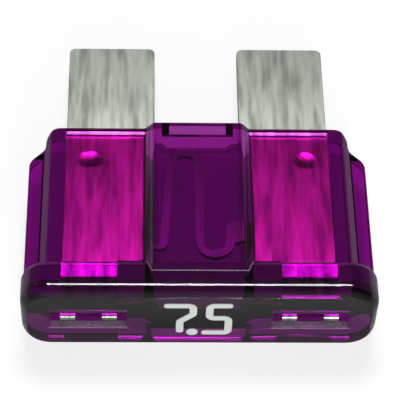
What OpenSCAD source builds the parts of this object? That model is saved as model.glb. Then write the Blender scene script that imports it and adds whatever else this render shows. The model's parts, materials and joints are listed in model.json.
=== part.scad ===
// Automotive blade fuse of the regular size, lying on its broad side.
// A translucent moulded housing holds one stamped metal strip, which makes both
// blades, the test prongs in the head and the S-shaped fusible link between them.
// Each module builds its piece flat: x runs across the fuse, y from the outer face
// of the head to the blade tips, and z through the thickness, with the middle of
// the metal at z = 0. lay_down() then tips the fuse into the pose it rests in.

/* [Head] */
// Width of the head
head_w = 19.1; // [18.9:0.1:21]
// Thickness of the head
head_t = 5.1; // [4.8:0.1:6]
// Length of the head, from its outer face to its rear face
head_l = 2.3; // [2.1:0.05:2.8]
// Corner radius of the head, seen from its outer face
head_corner_r = 1.6; // [1:0.1:2]
// Rounding of the edges round the head's rear face
head_edge_r = 0.5; // [0.2:0.05:0.8]
// Rounding of the edges round the head's outer face, which ends in a crease there
front_edge_r = 0.875; // [0.6:0.025:0.95]
// How far that rounding drops from the broad face to the crease
front_drop = 0.35; // [0.2:0.05:0.5]

/* [Body] */
// Width of the body behind the head
body_w = 18.9; // [18.5:0.1:19.1]
// Length of the body, from the head's rear face to its open end
body_l = 9.85; // [9.5:0.05:11]
// Thickness of the flanges along the body's sides
flange_t = 1.5; // [1.3:0.1:1.9]
// Width of each side flange, outside its slanted step
flange_w = 0.8; // [0.5:0.05:0.9]
// Thickness of the body where it covers the blades
cover_t = 2.4; // [2:0.1:2.9]
// Thickness of the centre block, which covers the link
centre_t = 3.5; // [3.2:0.1:4.4]
// Width of the centre block's flat top
centre_w = 5.4; // [4.8:0.1:5.8]
// Distance from the open end to the start of each shoulder's slant
shoulder_l = 2.1; // [1.9:0.1:3]
// How far each shoulder steps in from the side
shoulder_in = 0.9; // [0.6:0.05:1.1]
// Rounding where the side turns into the slant
shoulder_r = 0.8; // [0.3:0.1:1.2]
// Rounding where the slant turns into the end tab
shoulder_root_r = 0.5; // [0.2:0.1:0.6]
// Corner radius of the body's open end
end_corner_r = 0.85; // [0.4:0.05:1]

/* [Notch in the head] */
// Width of the notch at its front wall
notch_w = 5.1; // [4:0.1:5.4]
// Width of the notch where it leaves the head
notch_mouth_w = 5.75; // [5.5:0.05:6.4]
// Distance from the head's outer face to the notch's front wall
notch_y = 1.53; // [1.2:0.01:1.8]

/* [Windows for the test prongs] */
// Width of each window
window_w = 4.1; // [3.6:0.1:4.5]
// Height of each window
window_h = 1.42; // [1.1:0.02:1.8]
// Depth of each window
window_d = 0.45; // [0.3:0.05:0.6]

/* [Link chamber] */
// Width of the chamber at the level of the metal
chamber_w = 4.4; // [4.2:0.1:4.6]
// Width of the chamber's flat ceiling
chamber_top_w = 3.2; // [2.6:0.1:3.6]
// Height of the chamber
chamber_h = 2.2; // [1.6:0.1:2.4]
// Distance from the head's outer face to the chamber's closed end
chamber_y = 3; // [2.8:0.05:3.2]

/* [Blades] */
// Width of each blade
blade_w = 5; // [4.7:0.05:5.2]
// Gap between the two blades
blade_gap = 4.85; // [4.7:0.05:4.95]
// Thickness of the metal
metal_t = 0.65; // [0.5:0.05:0.8]
// Length of each blade outside the housing
blade_l = 6.7; // [6:0.1:8]
// Corner radius of the blade tips
tip_r = 0.35; // [0.1:0.05:0.8]
// Length of the bevel that thins each blade tip
tip_bevel_l = 0.5; // [0.2:0.05:1]
// Thickness of the metal at the very tip
tip_t = 0.4; // [0.25:0.05:0.5]

/* [Necks and test prongs] */
// Width of the neck that reaches into the head
neck_w = 3; // [2.8:0.05:3.2]
// Distance from the head's outer face to the blade's inner shoulder
neck_y = 3.4; // [3.2:0.05:3.7]
// Width of each test prong
prong_w = 0.78; // [0.6:0.02:1]
// Length of the slot between the two prongs
prong_l = 0.6; // [0.4:0.05:0.9]
// Depth of the prong ends below the head's outer face
prong_recess = 0.08; // [0.04:0.02:0.2]

/* [Fusible link] */
// Width of the link
link_w = 0.45; // [0.3:0.05:0.5]
// Thickness of the link, which is skived thinner than the blades
link_t = 0.3; // [0.15:0.05:0.45]
// Distance of the left leg's foot from the middle of the fuse
link_foot_x = 1.9; // [1.8:0.05:2]
// Distance of the left leg's top from the middle of the fuse
link_arch_x = 1.45; // [1.3:0.05:1.6]
// Place of the middle leg
link_middle_x = 0.1; // [-0.1:0.05:0.2]
// Distance of the right leg from the middle of the fuse
link_right_x = 1.75; // [1.6:0.05:1.8]
// Place along the fuse where the link leaves the left blade
link_foot_y = 4.4; // [4.2:0.05:5]
// Place along the fuse where the upper bend starts
link_arch_y = 9.5; // [8.5:0.1:10]
// Place along the fuse where the lower bend starts
link_bend_y = 4.9; // [4.7:0.05:5.4]
// Place along the fuse where the link meets the right blade
link_head_y = 6.1; // [5.8:0.1:7.5]

/* [Stakes] */
// Length of each stake across the blade
stake_w = 0.95; // [0.7:0.05:1.2]
// Width of each stake along the blade
stake_l = 0.7; // [0.5:0.05:0.9]
// Distance of each stake from the middle of the fuse
stake_x = 6.05; // [5.6:0.05:6.4]
// Distance of each stake from the open end
stake_from_end = 1.75; // [1.4:0.05:2.4]
// Depth of the tool mark over each stake
stake_mark_d = 0.35; // [0.1:0.05:0.45]

/* [Fits] */
// Clearance between the metal and the pocket round it
pocket_clearance = 0.05; // [0.03:0.01:0.1]
// Depth of the lead-in bevel at the pocket's mouth
lead_in = 0.35; // [0.15:0.05:0.45]

/* [Hidden] */
$fn = 64;
eps = 0.01;
cut = 1;

end_y = head_l + body_l;
tip_y = end_y + blade_l;
blade_in_x = blade_gap / 2;
blade_out_x = blade_in_x + blade_w;
blade_mid_x = blade_in_x + blade_w / 2;
neck_x = blade_out_x - neck_w / 2;
pocket_t = metal_t + 2 * pocket_clearance;
stake_y = end_y - stake_from_end;

flange_in_x = body_w / 2 - flange_w;
cover_x = flange_in_x - (cover_t - flange_t) / 2;
centre_foot_x = centre_w / 2 + (centre_t - cover_t) / 2;
tab_x = body_w / 2 - shoulder_in;
slant_y = end_y - shoulder_l;

// The fuse touches the ground along the head's lower rear edge and along the
// lower edge of the centre block's end. The line that touches both gives its tilt.
head_touch = [head_l - head_edge_r, head_edge_r - head_t / 2];
end_touch = [end_y, -centre_t / 2];
touch_span = norm(end_touch - head_touch);
tilt = atan2(end_touch[1] - head_touch[1], end_touch[0] - head_touch[0])
    + asin(head_edge_r / touch_span);
ground = -head_touch[0] * sin(tilt) + head_touch[1] * cos(tilt) - head_edge_r;
front_reach = -(head_t / 2 - front_drop) * sin(tilt);
tip_reach = max(
    tip_y * cos(tilt) + tip_t / 2 * sin(tilt),
    (tip_y - tip_bevel_l) * cos(tilt) + metal_t / 2 * sin(tilt)
);

// Tips a piece into the resting pose, over the middle of the finished part.
module lay_down() {
    translate([0, -(front_reach + tip_reach) / 2, -ground])
        rotate([-tilt, 0, 0])
            children();
}

// Makes its child on both sides of the fuse.
module both_sides() {
    children();
    mirror([1, 0, 0]) children();
}

// The sliver between a corner at b and an arc of radius r that touches both of
// the corner's sides, which run to a and c. It reaches a little past both sides.
module corner_sliver(a, b, c, r) {
    u = (a - b) / norm(a - b);
    v = (c - b) / norm(c - b);
    half = acos(u * v) / 2;
    middle = b + (u + v) / norm(u + v) * r / sin(half);
    touch_u = b + u * r / tan(half);
    touch_v = b + v * r / tan(half);
    past = 1.4;
    difference() {
        polygon([
            middle,
            middle + (touch_u - middle) * past,
            middle + (b - middle) * past,
            middle + (touch_v - middle) * past
        ]);
        translate(middle) circle(r);
    }
}

// A rectangle centred on the origin with round corners.
module round_rectangle(w, h, r) {
    difference() {
        square([w, h], center = true);
        for (sx = [-1, 1], sy = [-1, 1])
            corner_sliver(
                [0, sy * h / 2], [sx * w / 2, sy * h / 2], [sx * w / 2, 0], r
            );
    }
}

// Section of the head through its length: x is half of a width, y the head's length.
// The front rounding belongs to a longer block, which is cut off at the outer face.
module head_section(half_width) {
    spare = front_edge_r
        - sqrt(front_edge_r * front_edge_r - pow(front_edge_r - front_drop, 2));
    difference() {
        translate([0, -spare]) square([half_width, head_l + spare]);
        corner_sliver(
            [0, -spare], [half_width, -spare], [half_width, head_l], front_edge_r
        );
        corner_sliver([0, head_l], [half_width, head_l], [half_width, 0], head_edge_r);
        translate([-cut, -cut]) square([half_width + 2 * cut, cut]);
    }
}

// One side of the head's section, swept straight for the given length.
module head_slab(half_width, length) {
    both_sides()
        translate([0, 0, -length / 2])
            linear_extrude(length) head_section(half_width);
}

// The head: a block with round corners and rounded edges at both faces.
module head() {
    head_slab(head_w / 2, head_t - 2 * head_corner_r);
    rotate([0, 90, 0]) head_slab(head_t / 2, head_w - 2 * head_corner_r);
    for (sx = [-1, 1], sz = [-1, 1])
        translate([
            sx * (head_w / 2 - head_corner_r), 0, sz * (head_t / 2 - head_corner_r)
        ])
            rotate([-90, 0, 0])
                rotate([0, 0, sx > 0 ? (sz > 0 ? 270 : 0) : (sz > 0 ? 180 : 90)])
                    rotate_extrude(angle = 90) head_section(head_corner_r);
}

// Upper half of the body's cross-section, from the middle out to one side.
module half_section() {
    polygon([
        [0, 0], [body_w / 2, 0], [body_w / 2, flange_t / 2],
        [flange_in_x, flange_t / 2], [cover_x, cover_t / 2],
        [centre_foot_x, cover_t / 2], [centre_w / 2, centre_t / 2],
        [0, centre_t / 2]
    ]);
}

// The body's outline seen from above, with its shoulders and round end corners.
module body_outline() {
    side = body_w / 2;
    slant_top = slant_y + shoulder_in;
    difference() {
        union() {
            translate([-tab_x, head_l / 2]) square([2 * tab_x, end_y - head_l / 2]);
            polygon([
                [-side, head_l / 2], [side, head_l / 2], [side, slant_y],
                [tab_x, slant_top], [-tab_x, slant_top], [-side, slant_y]
            ]);
            both_sides()
                corner_sliver(
                    [side, slant_y], [tab_x, slant_top], [tab_x, end_y], shoulder_root_r
                );
        }
        both_sides() {
            corner_sliver([side, head_l], [side, slant_y], [tab_x, slant_top], shoulder_r);
            corner_sliver([tab_x, slant_top], [tab_x, end_y], [0, end_y], end_corner_r);
        }
    }
}

// The body behind the head: one stepped section cut to its outline.
module body() {
    intersection() {
        translate([0, 0, -head_t / 2]) linear_extrude(head_t) body_outline();
        rotate([-90, 0, 0])
            linear_extrude(end_y) {
                both_sides() half_section();
                mirror([0, 1]) both_sides() half_section();
            }
    }
}

// The notch that leaves the centre block's top clear behind the head's top face.
module notches() {
    for (side = [0, 1])
        mirror([0, 0, side])
            translate([0, 0, centre_t / 2])
                linear_extrude(head_t)
                    polygon([
                        [-notch_w / 2, notch_y], [notch_w / 2, notch_y],
                        [notch_mouth_w / 2, head_l + eps],
                        [-notch_mouth_w / 2, head_l + eps]
                    ]);
}

// The flat pocket that the strip slides into from the open end.
module blade_pocket() {
    reach = blade_out_x + pocket_clearance;
    shelf = neck_y - pocket_clearance;
    translate([-reach, shelf, -pocket_t / 2]) cube([2 * reach, end_y + cut - shelf, pocket_t]);
    // Bevels above and below the mouth lead the strip in.
    rotate([90, 0, 90])
        translate([0, 0, -reach])
            linear_extrude(2 * reach)
                polygon([
                    [end_y - lead_in, -pocket_t / 2], [end_y, -pocket_t / 2 - lead_in / 2],
                    [end_y + cut, -pocket_t / 2 - lead_in / 2],
                    [end_y + cut, pocket_t / 2 + lead_in / 2],
                    [end_y, pocket_t / 2 + lead_in / 2], [end_y - lead_in, pocket_t / 2]
                ]);
}

// The slots through the head for the two necks, and the windows round their prongs.
module neck_slots() {
    both_sides() {
        translate([neck_x, neck_y, 0])
            cube([neck_w + 2 * pocket_clearance, 2 * neck_y + cut, pocket_t], center = true);
        translate([neck_x, 0, 0])
            cube([window_w, 2 * window_d, window_h], center = true);
    }
}

// The chamber round the link, with slanted walls that follow the centre block.
module link_chamber() {
    rotate([-90, 0, 0])
        translate([0, 0, chamber_y])
            linear_extrude(end_y + cut - chamber_y)
                polygon([
                    [-chamber_top_w / 2, chamber_h / 2], [-chamber_w / 2, pocket_t / 2],
                    [-chamber_w / 2, -pocket_t / 2], [-chamber_top_w / 2, -chamber_h / 2],
                    [chamber_top_w / 2, -chamber_h / 2], [chamber_w / 2, -pocket_t / 2],
                    [chamber_w / 2, pocket_t / 2], [chamber_top_w / 2, chamber_h / 2]
                ]);
}

// The tool marks that the staking punches leave in both faces of the covers.
module stake_marks() {
    for (side = [0, 1])
        mirror([0, 0, side])
            both_sides()
                translate([stake_x, stake_y, cover_t / 2 - stake_mark_d])
                    linear_extrude(head_t) round_rectangle(stake_w, stake_l, stake_l / 4);
}

// The stakes of housing plastic that were pressed through the blades' holes.
module stakes() {
    both_sides()
        translate([stake_x, stake_y, -pocket_t / 2 - eps])
            linear_extrude(pocket_t + 2 * eps)
                round_rectangle(
                    stake_w - 2 * pocket_clearance, stake_l - 2 * pocket_clearance,
                    stake_l / 4 - pocket_clearance
                );
}

// The moulded housing, one piece of translucent violet plastic.
module housing() {
    color([0.45, 0.1, 0.5, 0.7])
        lay_down() {
            difference() {
                union() {
                    head();
                    body();
                }
                notches();
                blade_pocket();
                neck_slots();
                link_chamber();
                stake_marks();
            }
            stakes();
        }
}

// Outline of one blade with its neck, its two test prongs and the stake's hole.
module blade_outline() {
    difference() {
        union() {
            translate([blade_in_x, neck_y]) square([blade_w, tip_y - neck_y]);
            translate([neck_x - neck_w / 2, prong_recess])
                square([neck_w, neck_y + eps - prong_recess]);
        }
        translate([neck_x - neck_w / 2 + prong_w, prong_recess - cut])
            square([neck_w - 2 * prong_w, prong_l + cut]);
        for (x = [blade_in_x, blade_out_x])
            corner_sliver([blade_mid_x, tip_y], [x, tip_y], [x, end_y], tip_r);
        translate([stake_x, stake_y]) round_rectangle(stake_w, stake_l, stake_l / 4);
    }
}

// Side view of the strip, which thins towards the blade tips.
module strip_profile() {
    half = metal_t / 2;
    polygon([
        [0, -half], [tip_y - tip_bevel_l, -half], [tip_y, -tip_t / 2],
        [tip_y, tip_t / 2], [tip_y - tip_bevel_l, half], [0, half]
    ]);
}

// A straight stretch of the link from point a to point b, with round ends.
module link_stretch(a, b) {
    side = [a[1] - b[1], b[0] - a[0]] / norm(b - a) * link_w / 2;
    polygon([a + side, b + side, b - side, a - side]);
    for (p = [a, b]) translate(p) circle(d = link_w);
}

// A half turn of the link between two legs: rise is 1 for an arch, -1 for a bend.
module link_turn(x1, x2, y, rise) {
    r = abs(x2 - x1) / 2;
    translate([(x1 + x2) / 2, y])
        difference() {
            circle(r + link_w / 2);
            circle(r - link_w / 2);
            translate([-2 * r, rise > 0 ? -2 * r : 0]) square([4 * r, 2 * r]);
        }
}

// The S-shaped fusible link, from the foot of the left blade to the right one.
module link_outline() {
    foot = [-link_foot_x, link_foot_y];
    head = [link_right_x, link_head_y];
    link_stretch([-blade_in_x, link_foot_y], foot);
    link_stretch(foot, [-link_arch_x, link_arch_y]);
    link_turn(-link_arch_x, link_middle_x, link_arch_y, 1);
    link_stretch([link_middle_x, link_arch_y], [link_middle_x, link_bend_y]);
    link_turn(link_middle_x, link_right_x, link_bend_y, -1);
    link_stretch([link_right_x, link_bend_y], head);
    link_stretch(head, [blade_in_x, link_head_y]);
}

// The stamped strip: both blades, their test prongs and the link between them.
module fuse_strip() {
    color([0.72, 0.74, 0.72])
        lay_down() {
            intersection() {
                translate([0, 0, -metal_t]) linear_extrude(2 * metal_t)
                    both_sides() blade_outline();
                rotate([90, 0, 90])
                    translate([0, 0, -blade_out_x - eps])
                        linear_extrude(2 * (blade_out_x + eps)) strip_profile();
            }
            translate([0, 0, -link_t / 2]) linear_extrude(link_t) link_outline();
        }
}

housing();
fuse_strip();
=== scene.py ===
"""Looks for a regular-size automotive blade fuse that lies on its broad side.

The CAD frame gives the pose and the outer box. Each piece is modelled flat and in
millimetres in the fuse's own frame: x runs across the fuse, y from the outer face of the
head to the blade tips, and z through the thickness, with the middle of the metal at
z = 0. Its mesh is then laid down into the row frame, in metres.
"""

from __future__ import annotations

import json
import logging
import math
from collections.abc import Callable, Iterator
from contextlib import contextmanager
from dataclasses import dataclass, field
from enum import Enum

import bmesh
import bpy
from mathutils import Matrix, Vector


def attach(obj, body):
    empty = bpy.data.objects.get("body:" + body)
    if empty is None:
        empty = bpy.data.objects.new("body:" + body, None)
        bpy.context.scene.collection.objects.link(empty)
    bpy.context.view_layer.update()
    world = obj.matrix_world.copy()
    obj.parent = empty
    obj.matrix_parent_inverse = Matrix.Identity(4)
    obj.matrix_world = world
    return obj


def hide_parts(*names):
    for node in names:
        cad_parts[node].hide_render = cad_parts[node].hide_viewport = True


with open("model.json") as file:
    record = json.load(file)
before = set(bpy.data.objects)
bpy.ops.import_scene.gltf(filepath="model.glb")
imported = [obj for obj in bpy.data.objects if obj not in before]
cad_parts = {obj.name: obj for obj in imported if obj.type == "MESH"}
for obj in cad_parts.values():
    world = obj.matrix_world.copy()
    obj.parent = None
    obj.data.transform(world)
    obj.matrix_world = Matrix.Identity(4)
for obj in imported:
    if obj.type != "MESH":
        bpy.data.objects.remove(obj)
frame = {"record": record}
for stray in ("Cube", "Light", "Camera"):
    if stray in bpy.data.objects:
        bpy.data.objects.remove(bpy.data.objects[stray])
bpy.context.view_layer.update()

log = logging.getLogger("blade_fuse")
Object = bpy.types.Object
Triple = tuple[float, float, float]
Pair = tuple[float, float]

# A millimetre in metres, the scene's own unit.
MM = 0.001
# Two lengths in millimetres that differ by less than this count as the same.
CLOSE = 0.002
# The same, for tests near a rounded edge, where corners have moved a little.
LOOSE = 0.01
# Corners closer than this, in millimetres, are merged.
MERGED = 0.0005
# Faces that differ by less than this, in degrees, are joined into one flat.
FLAT = 0.2
SIDES = (-1, 1)


# Modelling tools


class Pick(Enum):
    """What a selection in edit mode is made of."""

    CORNERS = "VERT"
    EDGES = "EDGE"
    FACES = "FACE"


class Carve(Enum):
    """What one solid does to another."""

    CUT = "DIFFERENCE"
    JOIN = "UNION"
    KEEP_COMMON = "INTERSECT"


def take(*pieces: Object) -> None:
    """Selects these pieces alone, and makes the first one active."""
    bpy.ops.object.select_all(action="DESELECT")
    for piece in pieces:
        piece.select_set(True)
    bpy.context.view_layer.objects.active = pieces[0]


def settled() -> Object:
    """Gives the object added last, with its place, turn and size moved into its mesh."""
    bpy.ops.object.transform_apply(location=True, rotation=True, scale=True)
    return bpy.context.object


@contextmanager
def on_bench(piece: Object) -> Iterator[None]:
    """Opens one piece in edit mode, with nothing in it selected.

    Args:
        piece: The mesh object to shape.
    """
    take(piece)
    bpy.ops.object.mode_set(mode="EDIT")
    bpy.ops.mesh.select_all(action="DESELECT")
    yield
    bpy.ops.object.mode_set(mode="OBJECT")


def pick(kind: Pick, test: Callable[..., bool]) -> None:
    """Selects what passes a test in the piece on the bench, and nothing else.

    Args:
        kind: Corners, edges or faces.
        test: Says of one corner, edge or face whether it is wanted.
    """
    bpy.ops.mesh.select_mode(type=kind.value)
    bpy.ops.mesh.select_all(action="DESELECT")
    data = bpy.context.object.data
    mesh = bmesh.from_edit_mesh(data)
    mesh.normal_update()
    for item in {Pick.CORNERS: mesh.verts, Pick.EDGES: mesh.edges, Pick.FACES: mesh.faces}[kind]:
        if test(item):
            item.select_set(True)
    mesh.select_flush_mode()
    bmesh.update_edit_mesh(data)


def slice_at(point: Triple, normal: Triple) -> None:
    """Cuts the whole piece on the bench along a plane and keeps both sides."""
    bpy.ops.mesh.select_all(action="SELECT")
    bpy.ops.mesh.bisect(plane_co=point, plane_no=normal)


def push(offset: Triple) -> None:
    """Extrudes the selected faces of the piece on the bench by an offset."""
    bpy.ops.mesh.extrude_region_move(TRANSFORM_OT_translate={"value": offset})


def stretch(factors: Triple) -> None:
    """Scales what is selected on the bench about the middle of its frame."""
    bpy.ops.transform.resize(value=factors, center_override=(0, 0, 0))


def round_off(reach: float, steps: int) -> None:
    """Rounds the selected edges.

    Args:
        reach: How far the rounding reaches from each edge along its faces.
        steps: Number of faces across the rounding.
    """
    bpy.ops.mesh.bevel(
        offset=reach, segments=steps, affect="EDGES", clamp_overlap=False, miter_inner="SHARP"
    )


def runs_along(edge: bmesh.types.BMEdge, axis: int) -> bool:
    """Tells whether an edge is parallel to the x (0), y (1) or z (2) axis."""
    span = edge.verts[1].co - edge.verts[0].co
    return abs(span[axis]) > 0.999 * span.length


def middle(edge: bmesh.types.BMEdge) -> Vector:
    """Gives the middle of an edge."""
    return (edge.verts[0].co + edge.verts[1].co) / 2


def near(a: float, b: float) -> bool:
    """Tells whether two lengths are the same, but for errors of rounding."""
    return abs(a - b) < CLOSE


def block(name: str, low: Triple, high: Triple) -> Object:
    """Adds a block between two opposite corners.

    Args:
        name: Name of the new object.
        low: Lowest corner.
        high: Highest corner.

    Returns:
        The block, with its place and size in its mesh.
    """
    low, high = Vector(low), Vector(high)
    bpy.ops.mesh.primitive_cube_add(size=1, location=(low + high) / 2, scale=high - low)
    bpy.context.object.name = name
    return settled()


def carve(piece: Object, tool: Object, how: Carve) -> None:
    """Applies a second solid to a piece and throws the second one away."""
    take(piece)
    cut = piece.modifiers.new("carve", "BOOLEAN")
    cut.operation, cut.solver, cut.object = how.value, "EXACT", tool
    bpy.ops.object.modifier_apply(modifier=cut.name)
    bpy.data.objects.remove(tool)


def join(pieces: list[Object]) -> Object:
    """Joins separate solids into one object, which keeps the first one's name."""
    take(*pieces)
    bpy.ops.object.join()
    return pieces[0]


def finish_surface(piece: Object, angle: float = 32) -> None:
    """Merges doubles and split flats, then shades curves smooth and flats flat.

    Args:
        piece: The piece to finish.
        angle: Largest angle in degrees between faces that shade as one curve.
    """
    with on_bench(piece):
        bpy.ops.mesh.select_all(action="SELECT")
        bpy.ops.mesh.remove_doubles(threshold=MERGED)
        bpy.ops.mesh.dissolve_limited(angle_limit=math.radians(FLAT))
        bpy.ops.mesh.select_all(action="SELECT")
        bpy.ops.mesh.normals_make_consistent(inside=False)
    bpy.ops.object.shade_smooth_by_angle(angle=math.radians(angle))
    even = piece.modifiers.new("flats", "WEIGHTED_NORMAL")
    even.keep_sharp = True
    bpy.ops.object.modifier_apply(modifier=even.name)


# Where things are


@dataclass(frozen=True)
class LyingPose:
    """Carries the fuse's own flat frame, in millimetres, into the row frame."""

    origin: Vector
    along: Vector

    @classmethod
    def from_record(cls, record: dict) -> LyingPose:
        """Reads the pose from the record's mount on the head's outer face."""
        mount = next(m for m in record["mounts"] if m["name"] == "head_outer_face")
        return cls(Vector(mount["pos_m"]), -Vector(mount["axis"]).normalized())

    @property
    def tilt(self) -> float:
        """Angle in radians by which the blade tips point down."""
        return math.atan2(-self.along.z, self.along.y)

    def turn(self) -> Matrix:
        """Gives the rotation from the own frame to the row frame."""
        return Matrix.Rotation(-self.tilt, 4, "X")

    def lay(self, piece: Object) -> None:
        """Moves a finished mesh from its own frame into the row frame."""
        piece.data.transform(Matrix.Translation(self.origin) @ self.turn() @ Matrix.Scale(MM, 4))
        piece.data.update()


@dataclass(frozen=True)
class Metalwork:
    """Sizes in millimetres that the housing and the metal strip share.

    Each y is measured from the head's outer face. A stake is the lower tip of an
    ellipsoid, whose middle hangs stake_lift above the blade's face.
    """

    end_y: float = 12.15
    tip_y: float = 18.85
    metal_t: float = 0.65
    blade_w: float = 5.0
    blade_gap: float = 4.85
    neck_w: float = 3.0
    neck_y: float = 3.4
    stake_x: float = 6.05
    stake_y: float = 10.27
    stake_w: float = 3.0
    stake_l: float = 2.6
    stake_h: float = 0.6
    stake_lift: float = 0.27

    @property
    def inner_x(self) -> float:
        """Inner edge of each blade."""
        return self.blade_gap / 2

    @property
    def outer_x(self) -> float:
        """Outer edge of each blade."""
        return self.blade_gap / 2 + self.blade_w

    @property
    def neck_x(self) -> float:
        """Middle of each neck, and of the window in front of it."""
        return self.outer_x - self.neck_w / 2

    def stake(self, side: int, face: int, grow: float) -> Object:
        """Models the round tip of a stake, as it fills the dent in one face of a blade.

        Args:
            side: 1 for the right blade, -1 for the left one.
            face: 1 for the upper face, -1 for the lower one.
            grow: How much larger the tip is all round than the blade's dent.
        """
        height = self.metal_t / 2 + self.stake_lift
        place = (side * self.stake_x, self.stake_y, face * height)
        size = (self.stake_w / 2 + grow, self.stake_l / 2 + grow, self.stake_h / 2 + grow)
        bpy.ops.mesh.primitive_uv_sphere_add(
            segments=40, ring_count=28, radius=1, location=place, scale=size
        )
        return settled()


# The housing


@dataclass
class Housing:
    """The translucent moulding: head, stepped body, pocket, chamber and windows.

    Sizes are in millimetres. A name that ends in w is a width across the fuse, t a
    thickness, l a length along it, y a distance from the outer face, r a radius.
    """

    metal: Metalwork = field(default_factory=Metalwork)
    head_w: float = 19.1
    head_t: float = 5.1
    head_l: float = 2.3
    head_corner_r: float = 1.6
    head_edge_r: float = 0.5
    front_r: float = 0.875
    front_drop: float = 0.35
    body_w: float = 18.9
    flange_t: float = 1.5
    flange_w: float = 0.8
    cover_t: float = 2.4
    centre_t: float = 3.5
    centre_w: float = 4.95
    centre_slant: float = 0.48
    shoulder_l: float = 2.1
    shoulder_in: float = 0.9
    shoulder_r: float = 0.8
    shoulder_root_r: float = 0.5
    end_corner_r: float = 0.85
    body_y: float = 0.6
    notch_w: float = 5.1
    notch_mouth_w: float = 5.75
    notch_y: float = 1.53
    notch_sink: float = 0.05
    window_w: float = 4.1
    window_h: float = 1.42
    window_d: float = 0.45
    chamber_w: float = 4.7
    chamber_end_w: float = 4.4
    chamber_h: float = 1.36
    chamber_y: float = 3.0
    mouth_h: float = 2.2
    mouth_w: float = 3.2
    mouth_l: float = 0.6
    clearance: float = 0.05
    lead_in: float = 0.35
    edge_r: float = 0.06
    step_r: float = 0.1
    rim_r: float = 0.06

    def head(self) -> Object:
        """Models the head with its round corners and its two notches."""
        w, t = self.head_w / 2, self.head_t / 2
        # The front rounding is cut short by the flat outer face, so it starts in front of that.
        front = self.front_r - math.sqrt(self.front_r**2 - (self.front_r - self.front_drop) ** 2)
        head = block("head", (-w, -front, -t), (w, self.head_l, t))
        with on_bench(head):
            pick(Pick.EDGES, lambda e: runs_along(e, 1))
            round_off(self.head_corner_r, 12)
            pick(Pick.EDGES, lambda e: near(middle(e).y, self.head_l))
            round_off(self.head_edge_r, 7)
            pick(Pick.EDGES, lambda e: near(middle(e).y, -front))
            round_off(self.front_r, 12)
            bpy.ops.mesh.select_all(action="SELECT")
            bpy.ops.mesh.bisect(
                plane_co=(0, 0, 0), plane_no=(0, -1, 0), use_fill=True, clear_outer=True
            )
        for side in SIDES:
            carve(head, self.notch_tool(side), Carve.CUT)
        with on_bench(head):
            pick(Pick.EDGES, self.is_notch_rim)
            round_off(self.edge_r, 2)
        return head

    def notch_tool(self, side: int) -> Object:
        """Models what the notch takes out of the upper (1) or lower (-1) head face."""
        floor, top = self.centre_t / 2 - self.notch_sink, self.head_t
        low, high = sorted((side * floor, side * top))
        w = self.notch_w / 2
        tool = block("notch", (-w, self.notch_y, low), (w, self.head_l + 1, high))
        slope = (self.notch_mouth_w - self.notch_w) / (self.head_l - self.notch_y)
        wide = (self.notch_w + slope * (self.head_l + 1 - self.notch_y)) / self.notch_w
        with on_bench(tool):
            pick(Pick.CORNERS, lambda v: v.co.y > self.head_l)
            stretch((wide, 1, 1))
        return tool

    def is_notch_rim(self, edge: bmesh.types.BMEdge) -> bool:
        """Tells whether an edge lies where a notch wall meets the head's outside."""
        inside = [abs(v.co.x) < self.notch_mouth_w / 2 + LOOSE for v in edge.verts]
        deep = min(abs(v.co.z) for v in edge.verts) > self.centre_t / 2
        behind = min(v.co.y for v in edge.verts) > self.notch_y - LOOSE
        walls = [abs(f.normal.z) < 0.01 for f in edge.link_faces]
        return all(inside) and deep and behind and sum(walls) == 1

    def section(self) -> Object:
        """Models the stepped cross-section of the body, drawn out along its length."""
        w, flat = self.body_w / 2, self.flange_t / 2
        step = w - self.flange_w
        foot = self.centre_w / 2 + self.centre_slant
        cover = step - (self.cover_t - self.flange_t) / 2
        past_end = self.metal.end_y + 0.5
        body = block("housing_plastic", (-w, self.body_y, -flat), (w, past_end, flat))
        with on_bench(body):
            for x in (-step, -foot, foot, step):
                slice_at((x, 0, 0), (1, 0, 0))
            for side in SIDES:
                self.raise_step(side, step, cover, self.flange_t, self.cover_t)
                self.raise_step(side, foot, self.centre_w / 2, self.cover_t, self.centre_t)
            pick(
                Pick.EDGES,
                lambda e: runs_along(e, 1)
                and abs(middle(e).x) < step + LOOSE
                and not self.is_flat(e),
            )
            round_off(self.step_r, 2)
        return body

    @staticmethod
    def is_flat(edge: bmesh.types.BMEdge) -> bool:
        """Tells whether the faces on both sides of an edge are in one plane."""
        return len(edge.link_faces) == 2 and edge.calc_face_angle(0) < 0.01

    @staticmethod
    def raise_step(side: int, foot: float, top: float, low_t: float, high_t: float) -> None:
        """Raises the middle of the body by one slanted step.

        Args:
            side: 1 for the upper face, -1 for the lower one.
            foot: Half the step's width at its foot.
            top: Half the step's width at its top.
            low_t: Thickness of the body outside the step.
            high_t: Thickness of the body on the step.
        """
        pick(
            Pick.FACES,
            lambda f: side * f.normal.z > 0.9
            and near(side * f.calc_center_median().z, low_t / 2)
            and abs(f.calc_center_median().x) < foot,
        )
        push((0, 0, side * (high_t - low_t) / 2))
        pick(Pick.CORNERS, lambda v: near(side * v.co.z, high_t / 2) and near(abs(v.co.x), foot))
        stretch((top / foot, 1, 1))

    def outline(self) -> Object:
        """Models the body's outline from above, with its shoulders, as a thick plate."""
        w, start, end = self.body_w / 2, self.head_l / 2, self.metal.end_y
        slant = end - self.shoulder_l
        tab = w - self.shoulder_in
        tall = 4
        plate = block("outline", (-w, start, -tall), (w, end, tall))
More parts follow.
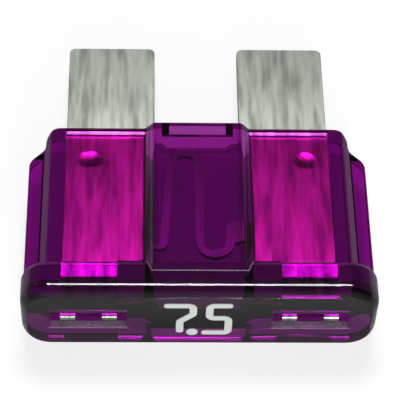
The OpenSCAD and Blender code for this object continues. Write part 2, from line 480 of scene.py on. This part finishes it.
        # The shoulders turn by 45 degrees, so a rounding reaches this far for each unit of radius.
        turn = math.tan(math.radians(45 / 2))
        with on_bench(plate):
            slice_at((0, slant, 0), (0, 1, 0))
            slice_at((0, slant + self.shoulder_in, 0), (0, 1, 0))
            pick(Pick.CORNERS, lambda v: v.co.y > slant + LOOSE)
            stretch((tab / w, 1, 1))
            for y, reach, steps in (
                (slant, self.shoulder_r * turn, 5),
                (slant + self.shoulder_in, self.shoulder_root_r * turn, 5),
                (end, self.end_corner_r, 9),
            ):
                pick(Pick.EDGES, lambda e: runs_along(e, 2) and near(middle(e).y, y))
                round_off(reach, steps)
        return plate

    def is_rim(self, edge: bmesh.types.BMEdge) -> bool:
        """Tells whether an edge is where the body's outer wall meets its broad faces."""
        steep = sum(abs(f.normal.z) < 0.05 for f in edge.link_faces)
        return steep == 1 and middle(edge).y > self.head_l / 2 + LOOSE

    def cavity(self) -> Object:
        """Models all that is hollow: pocket, neck slots, windows and link chamber."""
        metal, gap = self.metal, self.clearance
        end, reach, half = metal.end_y, metal.outer_x + gap, metal.metal_t / 2 + gap
        pocket = block("pocket", (-reach, metal.neck_y - gap, -half), (reach, end + 1, half))
        with on_bench(pocket):
            slice_at((0, end - self.lead_in, 0), (0, 1, 0))
            slice_at((0, end, 0), (0, 1, 0))
            pick(Pick.CORNERS, lambda v: v.co.y > end - LOOSE)
            stretch((1, 1, 1 + self.lead_in / 2 / half))
        for hollow in (self.chamber(), self.mouth()):
            carve(pocket, hollow, Carve.JOIN)
        for side in SIDES:
            for half_w, top, deep in (
                (metal.neck_w / 2 + gap, half, metal.neck_y),
                (self.window_w / 2, self.window_h / 2, self.window_d),
            ):
                x = side * metal.neck_x
                slot = block("slot", (x - half_w, -1, -top), (x + half_w, deep, top))
                carve(pocket, slot, Carve.JOIN)
            for face in SIDES:
                carve(pocket, metal.stake(side, face, -gap), Carve.CUT)
        return pocket

    def chamber(self) -> Object:
        """Models the hollow round the link, which widens towards its mouth."""
        end, inner, tall = self.metal.end_y, self.chamber_end_w / 2, self.chamber_h / 2
        chamber = block("chamber", (-inner, self.chamber_y, -tall), (inner, end, tall))
        with on_bench(chamber):
            pick(Pick.CORNERS, lambda v: near(v.co.y, end))
            stretch((self.chamber_w / self.chamber_end_w, 1, 1))
            pick(Pick.FACES, lambda f: f.normal.y > 0.9)
            push((0, 1, 0))
        return chamber

    def mouth(self) -> Object:
        """Models the bevelled recess at the chamber's mouth."""
        end, half = self.metal.end_y, self.mouth_h / 2
        wide = self.mouth_w / 2 + half
        mouth = block("mouth", (-wide, end - self.mouth_l, -half), (wide, end + 1, half))
        with on_bench(mouth):
            slice_at((0, 0, 0), (0, 0, 1))
            pick(Pick.CORNERS, lambda v: near(abs(v.co.z), half))
            stretch((self.mouth_w / 2 / wide, 1, 1))
        return mouth

    def build(self) -> Object:
        """Models the whole housing.

        Returns:
            The housing in its own flat frame.
        """
        body = self.section()
        carve(body, self.outline(), Carve.KEEP_COMMON)
        with on_bench(body):
            pick(Pick.EDGES, self.is_rim)
            round_off(self.rim_r, 2)
        carve(body, self.head(), Carve.JOIN)
        carve(body, self.cavity(), Carve.CUT)
        finish_surface(body)
        return body


# The metal strip


@dataclass
class Ribbon:
    """A narrow strip of metal drawn along a path, one stretch or turn at a time."""

    x: float
    y: float
    width: float
    thickness: float
    heading: float = 0.0

    def begin(self, name: str) -> Object:
        """Adds the ribbon's first cross-section, square to its heading."""
        turn = (0, math.pi / 2, math.radians(self.heading))
        bpy.ops.mesh.primitive_plane_add(size=1, location=(self.x, self.y, 0), rotation=turn)
        section = bpy.context.object
        section.name, section.scale = name, (self.thickness, self.width, 1)
        return settled()

    def go(self, length: float) -> None:
        """Draws the end of the ribbon straight on, in edit mode."""
        angle = math.radians(self.heading)
        step = (length * math.cos(angle), length * math.sin(angle), 0)
        push(step)
        self.x, self.y = self.x + step[0], self.y + step[1]

    def bend(self, degrees: float, radius: float, steps: int) -> None:
        """Bends the end of the ribbon in its plane, in edit mode.

        Args:
            degrees: Turn to the left, or to the right where it is negative.
            radius: Radius of the ribbon's middle line.
            steps: Number of stretches in the bend.
        """
        arm = math.copysign(radius, degrees)
        angle = math.radians(self.heading)
        x, y = self.x - arm * math.sin(angle), self.y + arm * math.cos(angle)
        bpy.ops.mesh.spin(
            steps=steps, angle=-math.radians(degrees), center=(x, y, 0), axis=(0, 0, 1), dupli=False
        )
        self.heading += degrees
        angle = math.radians(self.heading)
        self.x = x + arm * math.sin(angle)
        self.y = y - arm * math.cos(angle)

    def follow(self, points: tuple[Pair, ...], radius: float) -> None:
        """Draws the ribbon along a path whose corners are rounded, in edit mode.

        Args:
            points: The path's corners after its start, and its end.
            radius: Radius of the middle line in each corner.
        """
        for (x, y), after in zip(points, (*points[1:], None)):
            length, turn = math.hypot(x - self.x, y - self.y), 0.0
            if after:
                ahead = math.degrees(math.atan2(after[1] - y, after[0] - x))
                turn = (ahead - self.heading + 180) % 360 - 180
                length -= radius * math.tan(math.radians(abs(turn) / 2))
            self.go(length)
            if after:
                self.bend(turn, radius, 6)


@dataclass
class FuseStrip:
    """The stamped strip: two blades with necks and prongs, and the link between them.

    Sizes are in millimetres. The link leaves the left blade at its foot, rises to the
    arch, comes back to the bend near the head, and ends in the root on the right blade.
    """

    metal: Metalwork = field(default_factory=Metalwork)
    tip_r: float = 0.35
    prong_w: float = 0.78
    prong_y: float = 0.08
    prong_root_y: float = 0.68
    link_w: float = 0.45
    link_t: float = 0.3
    foot_x: float = 1.9
    foot_y: float = 4.4
    arch_x: float = 1.45
    arch_y: float = 10.15
    middle_x: float = 0.1
    bend_y: float = 4.75
    right_x: float = 1.75
    head_y: float = 5.4
    root_w: float = 1.4
    buried: float = 0.3
    corner_r: float = 0.3
    roll_r: float = 0.15
    burr_r: float = 0.03
    waist_y: float = 1.4
    waist_d: float = 0.08
    prong_step_l: float = 0.19
    prong_step_d: float = 0.08
    prong_end_r: float = 0.18

    def blade(self, side: int) -> Object:
        """Models one blade with its neck and two test prongs.

        Args:
            side: 1 for the right blade, -1 for the left one.
        """
        metal = self.metal
        inner, outer, half = metal.inner_x, metal.outer_x, metal.metal_t / 2
        neck = outer - metal.neck_w
        low, high = sorted((side * inner, side * outer))
        blade = block("blade", (low, metal.neck_y, -half), (high, metal.tip_y, half))
        with on_bench(blade):
            for x in (neck, neck + self.prong_w, outer - self.prong_w):
                slice_at((side * x, 0, 0), (1, 0, 0))
            self.draw_out(side, neck, outer, metal.neck_y, self.prong_root_y)
            for x in (neck, outer - self.prong_w):
                self.draw_out(side, x, x + self.prong_w, self.prong_root_y, self.prong_y)
            pick(
                Pick.EDGES,
                lambda e: runs_along(e, 2)
                and near(middle(e).y, metal.tip_y)
                and (near(abs(middle(e).x), inner) or near(abs(middle(e).x), outer)),
            )
            round_off(self.tip_r, 6)
            # Coining leaves a shallow waist in the neck and thins the prongs by a slanted step.
            slice_at((0, self.waist_y, 0), (0, 1, 0))
            pick(Pick.CORNERS, lambda v: near(v.co.y, self.waist_y))
            stretch((1, 1, 1 - 2 * self.waist_d / metal.metal_t))
            for y in (self.prong_root_y + self.prong_step_l, self.prong_root_y):
                slice_at((0, y, 0), (0, 1, 0))
            pick(Pick.CORNERS, lambda v: v.co.y < self.prong_root_y + LOOSE)
            stretch((1, 1, 1 - 2 * self.prong_step_d / metal.metal_t))
            pick(Pick.EDGES, lambda e: runs_along(e, 0) and near(middle(e).y, self.prong_y))
            round_off(self.prong_end_r, 3)
            # Shearing rolls the inner edge over.
            for rolled, reach, steps in ((True, self.roll_r, 3), (False, self.burr_r, 1)):
                pick(
                    Pick.EDGES,
                    lambda e: self.is_sheared(e) and near(abs(middle(e).x), inner) == rolled,
                )
                round_off(reach, steps)
        return blade

    def is_sheared(self, edge: bmesh.types.BMEdge) -> bool:
        """Tells whether an edge of a blade is where a broad face meets a sheared one."""
        flat = sum(abs(f.normal.z) > 0.9 for f in edge.link_faces)
        sheared = sum(abs(f.normal.z) < 0.1 for f in edge.link_faces)
        return flat == 1 and sheared == 1 and middle(edge).y > self.metal.neck_y + LOOSE

    @staticmethod
    def draw_out(side: int, x0: float, x1: float, y0: float, y1: float) -> None:
        """Draws the strip's end faces at y0 out to y1, between two distances from the middle."""
        pick(
            Pick.FACES,
            lambda f: f.normal.y < -0.9
            and near(f.calc_center_median().y, y0)
            and x0 < side * f.calc_center_median().x < x1,
        )
        push((0, y1 - y0, 0))

    def link(self) -> Object:
        """Models the S-shaped fusible link from the left blade's foot to the right blade."""
        inside = self.metal.inner_x + self.buried
        lean = math.degrees(math.atan2(self.foot_x - self.arch_x, self.arch_y - self.foot_y))
        path = Ribbon(-inside, self.foot_y, self.link_w, self.link_t)
        link = path.begin("link")
        arch_r = (self.middle_x + self.arch_x) / (1 + math.cos(math.radians(lean)))
        with on_bench(link):
            bpy.ops.mesh.select_all(action="SELECT")
            path.go(inside - self.foot_x - self.corner_r)
            path.bend(90 - lean, self.corner_r, 6)
            path.go(math.hypot(self.arch_y - path.y, -self.arch_x - path.x))
            path.bend(lean - 180, arch_r, 16)
            path.go(path.y - self.bend_y)
            path.bend(180, (self.right_x - path.x) / 2, 16)
            path.go(self.head_y - path.y)
            bpy.ops.mesh.select_all(action="SELECT")
            bpy.ops.mesh.normals_make_consistent(inside=False)
        return link

    def root(self) -> Object:
        """Models the broad joint between the link and the right blade."""
        t = self.link_t / 2
        low, high = self.head_y - self.root_w / 2, self.head_y + self.root_w / 2
        left = self.right_x - self.link_w / 2
        root = block("root", (left, low, -t), (self.metal.inner_x + self.buried, high, t))
        with on_bench(root):
            pick(
                Pick.EDGES,
                lambda e: runs_along(e, 2) and near(middle(e).x, left) and near(middle(e).y, high),
            )
            round_off(self.link_w, 6)
        return root

    def build(self) -> Object:
        """Models the whole strip.

        Returns:
            The strip in its own flat frame.
        """
        strip = self.blade(-1)
        strip.name = "tinned_strip"
        carve(strip, self.blade(1), Carve.JOIN)
        for side in SIDES:
            for face in SIDES:
                carve(strip, self.metal.stake(side, face, 0), Carve.CUT)
        for bridge in (self.link(), self.root()):
            carve(strip, bridge, Carve.JOIN)
        # The neck's slopes are flats, so their shading stops at the waist and the neck's end.
        with on_bench(strip):
            pick(
                Pick.EDGES,
                lambda e: runs_along(e, 0)
                and (near(middle(e).y, self.waist_y) or near(middle(e).y, self.metal.neck_y)),
            )
            bpy.ops.mesh.mark_sharp()
        finish_surface(strip)
        return strip


# The rating


@dataclass
class RatingMark:
    """The plain digits of the current rating, raised on the head's outer face.

    Sizes are in millimetres. Each digit is one stroke, given by the corners and ends of
    its middle line as x and z. Its ends are rounded by a share of half its width.
    """

    stroke_w: float = 0.4
    raised: float = 0.045
    buried: float = 0.01
    bend_r: float = 0.27
    end_share: float = 0.9
    dot_r: float = 0.31
    dot: Pair = (-0.39, -1.05)
    seven: tuple[Pair, ...] = (
        (-1.92, 1.49), (-0.36, 1.49), (-0.36, 0.68), (-1.06, 0.0), (-1.06, -1.1),
    )
    five: tuple[Pair, ...] = (
        (1.74, 1.5), (0.51, 1.5), (0.51, 0.31), (1.54, 0.31), (1.54, -1.1), (0.11, -1.1),
    )

    def stroke(self, points: tuple[Pair, ...]) -> Object:
        """Models one digit as a single stroke with round bends and ends.

        Args:
            points: The corners of the stroke's middle line, as x and z.
        """
        (x0, z0), (x1, z1) = points[:2]
        depth, half = self.raised + self.buried, self.stroke_w / 2
        path = Ribbon(x0, z0, self.stroke_w, depth, math.degrees(math.atan2(z1 - z0, x1 - x0)))
        mark = path.begin("rating_digits")
        with on_bench(mark):
            bpy.ops.mesh.select_all(action="SELECT")
            path.follow(points[1:], self.bend_r)
            ends = [Vector((*p, 0)) for p in (points[0], points[-1])]
            pick(
                Pick.EDGES,
                lambda e: runs_along(e, 2)
                and min((middle(e) - end).length for end in ends) < half + LOOSE,
            )
            round_off(half * self.end_share, 5)
        return mark

    def point(self) -> Object:
        """Models the decimal point."""
        depth = self.raised + self.buried
        bpy.ops.mesh.primitive_cylinder_add(
            vertices=28, radius=self.dot_r, depth=depth, location=(*self.dot, 0)
        )
        return settled()

    def build(self) -> Object:
        """Models the digits and stands them up on the head's outer face.

        Returns:
            The digits in the fuse's own flat frame.
        """
        marks = join([self.stroke(self.seven), self.stroke(self.five), self.point()])
        out = Matrix.Translation((0, (self.buried - self.raised) / 2, 0))
        marks.data.transform(out @ Matrix.Rotation(math.pi / 2, 4, "X"))
        finish_surface(marks)
        return marks


# Flash


@dataclass
class Flash:
    """Thin ragged flash that the mould left round the notch and along the window sills.

    Sizes are in millimetres. The threads waver a little from step to step.
    """

    housing: Housing = field(default_factory=Housing)
    thickness: float = 0.06
    sill_t: float = 0.03
    sill_past: float = 0.1
    sill_gap: float = 0.01
    step: float = 0.09
    waver: float = 0.012

    def rim(self) -> list[Vector]:
        """Gives the corners of the notch's rim in the head's upper face."""
        h = self.housing
        top, r = h.head_t / 2, h.head_edge_r
        slope = (h.notch_mouth_w - h.notch_w) / 2 / (h.head_l - h.notch_y)
        half = []
        # The rim starts part of the way down the head's rounded rear edge.
        for angle in (math.radians(a) for a in (60, 40, 20, 0)):
            y, z = h.head_l - r * (1 - math.sin(angle)), top - r * (1 - math.cos(angle))
            half.append(Vector((h.notch_w / 2 + slope * (y - h.notch_y), y, z)))
        half.append(Vector((h.notch_w / 2, h.notch_y, top)))
        return [Vector((-p.x, p.y, p.z)) for p in half] + half[::-1]

    def sill(self, side: int) -> list[Vector]:
        """Gives the ends of the thread along the lower edge of one window."""
        h = self.housing
        half = h.window_w / 2 + self.sill_past
        return [Vector((side * h.metal.neck_x + s * half, 0, -h.window_h / 2)) for s in SIDES]

    def bead(self, corners: list[Vector]) -> Object:
        """Models one thread of flash along a line of corners.

        Args:
            corners: The line, from one end to the other.
        """
        points = []
        for a, b in zip(corners, corners[1:]):
            count = max(1, round((b - a).length / self.step))
            points += [a.lerp(b, i / count) for i in range(count)]
        points.append(corners[-1])
        path = bpy.data.curves.new("flash", "CURVE")
        path.dimensions = "3D"
        path.bevel_depth = self.thickness / 2
        path.bevel_resolution = 1
        path.use_fill_caps = True
        line = path.splines.new("POLY")
        line.points.add(len(points) - 1)
        # Waves of different rates make the thread look ragged rather than regular.
        for i, point in enumerate(points):
            sway = Vector((0, math.sin(2.4 * i), math.sin(1.7 * i + 1))) * self.waver
            line.points[i].co = (*(point + sway), 1)
            line.points[i].radius = 0.75 + 0.35 * math.sin(2.9 * i) * math.sin(0.8 * i)
        thread = bpy.data.objects.new("flash", path)
        bpy.context.collection.objects.link(thread)
        take(thread)
        bpy.ops.object.convert(target="MESH")
        return bpy.context.object

    def torn_sill(self, side: int) -> Object:
        """Models the torn skin on the lower wall of one window, clear of its thread."""
        h = self.housing
        middle_x, low = side * h.metal.neck_x, -h.window_h / 2
        half = h.window_w / 2 - self.sill_gap
        deep, top = h.window_d - 2 * self.sill_gap, low + self.sill_t
        skin = block("skin", (middle_x - half, self.thickness, low), (middle_x + half, deep, top))
        with on_bench(skin):
            pick(Pick.EDGES, lambda e: middle(e).z > low + self.sill_t / 2)
            round_off(self.sill_t / 3, 2)
        return skin

    def build(self) -> Object:
        """Models all the flash as one piece.

        Returns:
            The flash in the fuse's own flat frame.
        """
        lines = [self.rim(), *[self.sill(side) for side in SIDES]]
        flash = join([self.bead(line) for line in lines] + [self.torn_sill(side) for side in SIDES])
        flash.name = "mould_flash"
        finish_surface(flash, 60)
        return flash


# Finishes


def linear(code: str) -> tuple[float, float, float, float]:
    """Turns an sRGB hex colour into a linear one.

    Args:
        code: Six hex digits.

    Returns:
        Red, green, blue and alpha.
    """
    parts = [int(code[i : i + 2], 16) / 255 for i in (0, 2, 4)]
    return (*[p / 12.92 if p <= 0.04045 else ((p + 0.055) / 1.055) ** 2.4 for p in parts], 1.0)


def node(
    tree: bpy.types.NodeTree, kind: str, links: dict | None = None, **settings: object
) -> bpy.types.Node:
    """Adds one shader node.

    Args:
        tree: The node tree that it goes into.
        kind: The node's type, without the leading ShaderNode.
        links: For each input's name or number, the output socket or the value it gets. A Map
            Range's inputs are the value, from low, from high, to low and to high. A colour
            Mix's are the share and, as numbers 6 and 7, both colours, and its output is 2.
        settings: The node's own properties.

    Returns:
        The new node.
    """
    made = tree.nodes.new("ShaderNode" + kind)
    for name, value in settings.items():
        setattr(made, name, value)
    for name, value in (links or {}).items():
        if isinstance(value, bpy.types.NodeSocket):
            tree.links.new(value, made.inputs[name])
        else:
            made.inputs[name].default_value = value
    return made


def blank(name: str) -> tuple[bpy.types.Material, bpy.types.NodeTree]:
    """Makes an empty material and gives it with its node tree."""
    material = bpy.data.materials.new(name)
    material.use_nodes = True
    material.node_tree.nodes.clear()
    return material, material.node_tree


@dataclass(frozen=True)
class VioletPolycarbonate:
    """Injection moulded transparent polycarbonate, dyed violet in the mass.

    Each metre of plastic absorbs density x (1 - dye) of the red, green and blue light, by
    the exponential law. The orange peel's grain and depth are in millimetres.
    """

    ior: float = 1.585
    roughness: float = 0.05
    dye: Triple = (0.881, 0.0, 0.882)
    density: float = 3200.0
    peel: float = 0.14
    peel_d: float = 0.0018

    def material(self) -> bpy.types.Material:
        """Makes the material."""
        material, tree = blank("moulded_violet_polycarbonate")
        # The mould's ground steel leaves a faint orange peel, which breaks up sharp highlights.
        place = node(tree, "TexCoord").outputs["Object"]
        peel = node(tree, "TexNoise", {"Vector": place, "Scale": 1 / MM / self.peel, "Detail": 3.0})
        relief = {"Strength": 1.0, "Distance": self.peel_d * MM, "Height": peel.outputs["Fac"]}
        clear = {
            "Base Color": (1, 1, 1, 1),
            "Roughness": self.roughness,
            "IOR": self.ior,
            "Transmission Weight": 1.0,
            "Normal": node(tree, "Bump", relief).outputs[0],
        }
        surface = node(tree, "BsdfPrincipled", clear)
        # The dye deepens with the length of the light's path, so thick parts look darker.
        dye = node(tree, "VolumeAbsorption", {"Color": (*self.dye, 1), "Density": self.density})
        node(tree, "OutputMaterial", {"Surface": surface.outputs[0], "Volume": dye.outputs[0]})
        return material


@dataclass(frozen=True)
class FrostedFlash:
    """Torn polycarbonate flash. Its grain is in millimetres."""

    pale: str = "DCD0DE"
    deep: str = "5C4A60"
    grain: float = 0.15
    roughness: float = 0.3
    ior: float = 1.585

    def material(self) -> bpy.types.Material:
        """Makes the material."""
        material, tree = blank("torn_polycarbonate_flash")
        # The torn skin is too rough to look clear: it is mottled pale and dark.
        place = node(tree, "TexCoord").outputs["Object"]
        grain = {"Vector": place, "Scale": 1 / MM / self.grain, "Detail": 2.0}
        torn = node(tree, "TexNoise", grain)
        tones = {0: torn.outputs["Fac"], 6: linear(self.deep), 7: linear(self.pale)}
        tone = node(tree, "Mix", tones, data_type="RGBA")
        rough = {"Base Color": tone.outputs[2], "Roughness": self.roughness, "IOR": self.ior}
        surface = node(tree, "BsdfPrincipled", rough)
        node(tree, "OutputMaterial", {"Surface": surface.outputs[0]})
        return material


@dataclass(frozen=True)
class TinnedZinc:
    """Rolled zinc alloy, plated with dull tin.

    Lengths and places are in millimetres, and y is in the row frame: the necks end at
    head_y and the housing at end_y. Between them the tin has painted warm light. The tilt is
    the lying fuse's, in radians.
    """

    light: str = "D2D7CE"
    dark: str = "898E87"
    # Painted warm light, laid on the tin under the plastic.
    warm: str = "FFF4CC"
    bare: str = "6E686A"
    rough: float = 0.36
    smooth: float = 0.28
    coined: float = 0.26
    streak_w: float = 0.33
    streak_l: float = 2.3
    dent: float = 0.02
    link_x: float = 2.35
    link_fade: float = 0.08
    head_y: float = -5.95
    end_y: float = 2.8
    fade: float = 0.1
    tilt: float = 0.0773

    def material(self) -> bpy.types.Material:
        """Makes the material."""
        material, tree = blank("tinned_rolled_zinc")
        place = node(tree, "TexCoord").outputs["Object"]
        apart = node(tree, "SeparateXYZ", {0: place})
        # Rolling leaves soft streaks along the blades, and the tin bath blurs them.
        flat = node(tree, "Mapping", {"Vector": place, "Rotation": (self.tilt, 0, 0)})
        scale = [1 / MM / size for size in (self.streak_w, self.streak_l, 1)]
        streak = node(tree, "Mapping", {"Vector": flat.outputs[0], "Scale": scale})
        blur = {"Vector": streak.outputs[0], "Scale": 0.6, "Detail": 2.5, "Roughness": 0.55}
        soft = node(tree, "TexNoise", blur)
        tone = node(tree, "MapRange", {0: soft.outputs["Fac"], 1: 0.36, 2: 0.64})
        tins = {0: tone.outputs[0], 6: linear(self.dark), 7: linear(self.light)}
        plate = node(tree, "Mix", tins, data_type="RGBA")
        # Painted warm light: the tin under the plastic is made yellower, which warms the violet
        # over it.
        past_head, inside = (
            node(tree, "MapRange", {0: apart.outputs["Y"], 1: low * MM, 2: high * MM})
            for low, high in (
                (self.head_y - self.fade, self.head_y),
                (self.end_y, self.end_y - self.fade),
            )
        )
        covered = node(
            tree, "Math", {0: past_head.outputs[0], 1: inside.outputs[0]}, operation="MULTIPLY"
        )
        warm_light_mix = {0: covered.outputs[0], 6: plate.outputs[2], 7: linear(self.warm)}
        warm_lit = node(tree, "Mix", warm_light_mix, data_type="RGBA", blend_type="MULTIPLY")
        # The link is skived after tinning, so bare grey zinc shows there.
        reach = node(tree, "Math", {0: apart.outputs["X"]}, operation="ABSOLUTE")
        edge = {1: self.link_x * MM, 2: (self.link_x + self.link_fade) * MM, 3: 1, 4: 0}
        bare = node(tree, "MapRange", {0: reach.outputs[0], **edge})
        metals = {0: bare.outputs[0], 6: warm_lit.outputs[2], 7: linear(self.bare)}
        colour = node(tree, "Mix", metals, data_type="RGBA")
        # The coined necks in the head are smoother than the rolled blades.
        uneven = {0: soft.outputs["Fac"], 1: 0.3, 2: 0.7, 3: self.rough, 4: self.smooth}
        rolled = node(tree, "MapRange", uneven)
        gloss = {0: past_head.outputs[0], 3: self.coined, 4: rolled.outputs[0]}
        dents = {"Strength": 0.15, "Distance": self.dent * MM, "Height": soft.outputs["Fac"]}
        tin = {
            "Base Color": colour.outputs[2],
            "Roughness": node(tree, "MapRange", gloss).outputs[0],
            "Metallic": 1.0,
            "Normal": node(tree, "Bump", dents).outputs[0],
        }
        surface = node(tree, "BsdfPrincipled", tin)
        node(tree, "OutputMaterial", {"Surface": surface.outputs[0]})
        return material


@dataclass(frozen=True)
class StampedFoil:
    """Pale silver foil, hot stamped on the raised digits."""

    colour: str = "F6FFF9"
    roughness: float = 0.45
    metallic: float = 0.1

    def material(self) -> bpy.types.Material:
        """Makes the material."""
        material, tree = blank("hot_stamped_foil")
        # The foil's lacquer spreads the light, so the digits look evenly pale from every side.
        foil = {
            "Base Color": linear(self.colour),
            "Roughness": self.roughness,
            "Metallic": self.metallic,
        }
        surface = node(tree, "BsdfPrincipled", foil)
        node(tree, "OutputMaterial", {"Surface": surface.outputs[0]})
        return material


# The set


@dataclass(frozen=True)
class Viewpoint:
    """The photograph's viewpoint, in millimetres and degrees in the fuse's own flat frame."""

    place: Triple = (-2.946, -51.745, 81.467)
    yaw: float = 2.948
    pitch: float = 53.713
    roll: float = 2.671
    focal_px: float = 1805.5
    frame_px: int = 400
    sensor_mm: float = 36.0

    def make(self, pose: LyingPose) -> None:
        """Adds the camera.

        Args:
            pose: Where the fuse lies.
        """
        yaw, pitch, roll = (math.radians(a) for a in (self.yaw, self.pitch, self.roll))
        level = math.cos(pitch)
        ahead = Vector((math.sin(yaw) * level, math.cos(yaw) * level, -math.sin(pitch)))
        right = Vector((math.cos(yaw), -math.sin(yaw), 0))
        up = right.cross(ahead)
        right, up = (
            right * math.cos(roll) + up * math.sin(roll),
            up * math.cos(roll) - right * math.sin(roll),
        )
        turn = pose.turn().to_3x3() @ Matrix((right, up, -ahead)).transposed()
        data = bpy.data.cameras.new("viewpoint")
        data.sensor_width = self.sensor_mm
        data.lens = self.focal_px / self.frame_px * data.sensor_width
        data.clip_start, data.clip_end = 0.01, 10
        camera = bpy.data.objects.new("viewpoint", data)
        place = pose.origin + pose.turn().to_3x3() @ Vector(self.place) * MM
        camera.matrix_world = Matrix.Translation(place) @ turn.to_4x4()
        bpy.context.collection.objects.link(camera)
        bpy.context.scene.camera = camera


@dataclass(frozen=True)
class SoftBox:
    """A rectangular lamp that faces the fuse. Its place and sides are in metres."""

    name: str
    place: Triple
    size: Pair
    watts: float

    def make(self) -> None:
        """Adds the lamp."""
        data = bpy.data.lights.new(self.name, "AREA")
        data.shape = "RECTANGLE"
        data.size, data.size_y = self.size
        data.energy = self.watts
        lamp = bpy.data.objects.new(self.name, data)
        aim = (-Vector(self.place)).to_track_quat("-Z", "Y").to_matrix().to_4x4()
        lamp.matrix_world = Matrix.Translation(self.place) @ aim
        bpy.context.collection.objects.link(lamp)


@dataclass(frozen=True)
class Studio:
    """A sheet of white paper, a dim room and two soft lamps.

    Paper and room look white to the camera alone. What the fuse mirrors, and what shows
    through its plastic, has the strengths below, so that it keeps its deep colour. Under the
    head, the glow through the plastic has a painted shadow.
    """

    paper_size: float = 1.2
    paper_tone: float = 0.45
    paper_seen: float = 0.75
    paper_mirrored: float = 0.15
    paper_through: float = 0.165
    # Painted shadow: from in_light_y to under_head_y the glow seen through the plastic fades to
    # nothing.
    under_head_y: float = -6.6
    in_light_y: float = -3.4
    lamps: tuple[SoftBox, ...] = (
        SoftBox("overhead_softbox", (0, 0.0948, 0.1993), (0.08, 0.05), 0.2),
        SoftBox("front_fill", (0.03, -0.22, 0.062), (0.06, 0.06), 0.22),
    )

    def floor(self) -> None:
        """Adds the sheet of paper that the fuse lies on."""
        bpy.ops.mesh.primitive_plane_add(size=self.paper_size)
        floor = bpy.context.object
        floor.name = "floor"
        material, tree = blank("white_paper")
        # Painted shadow: little light gets under the head, which touches the paper, so the glow
        # seen through the plastic fades out there.
        apart = node(tree, "SeparateXYZ", {0: node(tree, "TexCoord").outputs["Object"]})
        span = {1: self.under_head_y * MM, 2: self.in_light_y * MM, 3: 0.0, 4: self.paper_through}
        through = node(tree, "MapRange", {0: apart.outputs["Y"], **span})
        path = node(tree, "LightPath")
        strength = 0.0
        for ray, level in (
            ("Is Camera Ray", self.paper_seen),
            ("Is Transmission Ray", through.outputs[0]),
            ("Is Glossy Ray", self.paper_mirrored),
        ):
            share = node(tree, "Math", {0: path.outputs[ray], 1: level}, operation="MULTIPLY")
            both = {0: strength, 1: share.outputs[0]}
            strength = node(tree, "Math", both, operation="MAXIMUM").outputs[0]
        glow = node(tree, "Emission", {"Color": (1, 1, 1, 1), "Strength": strength})
        paper = node(tree, "BsdfDiffuse", {"Color": (*[self.paper_tone] * 3, 1)})
        lit = node(tree, "AddShader", {0: glow.outputs[0], 1: paper.outputs[0]})
        node(tree, "OutputMaterial", {"Surface": lit.outputs[0]})
        floor.data.materials.append(material)

    def room(self) -> None:
        """Sets the world: dim overhead, pale near the horizon and paler in front."""
        world = bpy.data.worlds.new("room")
        world.use_nodes = True
        bpy.context.scene.world = world
        tree = world.node_tree
        tree.nodes.clear()
        towards = node(tree, "SeparateXYZ", {0: node(tree, "TexCoord").outputs["Generated"]})
        path = node(tree, "LightPath")
        strength = path.outputs["Is Camera Ray"]
        for axis, span in (
            ("Z", {1: 0.1, 2: 0.7, 3: 0.12, 4: 0.05}),
            ("Y", {1: -0.85, 2: -0.1, 3: 0.45, 4: 0}),
        ):
            shade = node(tree, "MapRange", {0: towards.outputs[axis], **span})
            both = {0: strength, 1: shade.outputs[0]}
            strength = node(tree, "Math", both, operation="MAXIMUM").outputs[0]
        sky = node(tree, "Background", {"Color": (1, 1, 1, 1), "Strength": strength})
        node(tree, "OutputWorld", {"Surface": sky.outputs[0]})

    def build(self) -> None:
        """Adds the floor, the room and the lamps."""
        self.floor()
        self.room()
        for lamp in self.lamps:
            lamp.make()


def main() -> None:
    """Builds the fuse and its set."""
    logging.basicConfig(level=logging.INFO, format="%(name)s: %(message)s")
    scene = bpy.context.scene
    scene.view_settings.view_transform = "Standard"
    pose = LyingPose.from_record(frame["record"])
    Viewpoint().make(pose)
    Studio().build()
    for maker, cad_node, slot, finish in (
        (Housing(), "housing", "housing_plastic", VioletPolycarbonate()),
        (FuseStrip(), "fuse_strip", "strip_metal", TinnedZinc()),
        (RatingMark(), None, None, StampedFoil()),
        (Flash(), None, None, FrostedFlash()),
    ):
        piece = maker.build()
        pose.lay(piece)
        piece.data.materials.clear()
        piece.data.materials.append(finish.material())
        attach(piece, "root")
        if cad_node:
            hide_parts(cad_node)
        log.info("%s: %d faces, stands for %s", piece.name, len(piece.data.polygons), cad_node)


if __name__ == "__main__":
    main()
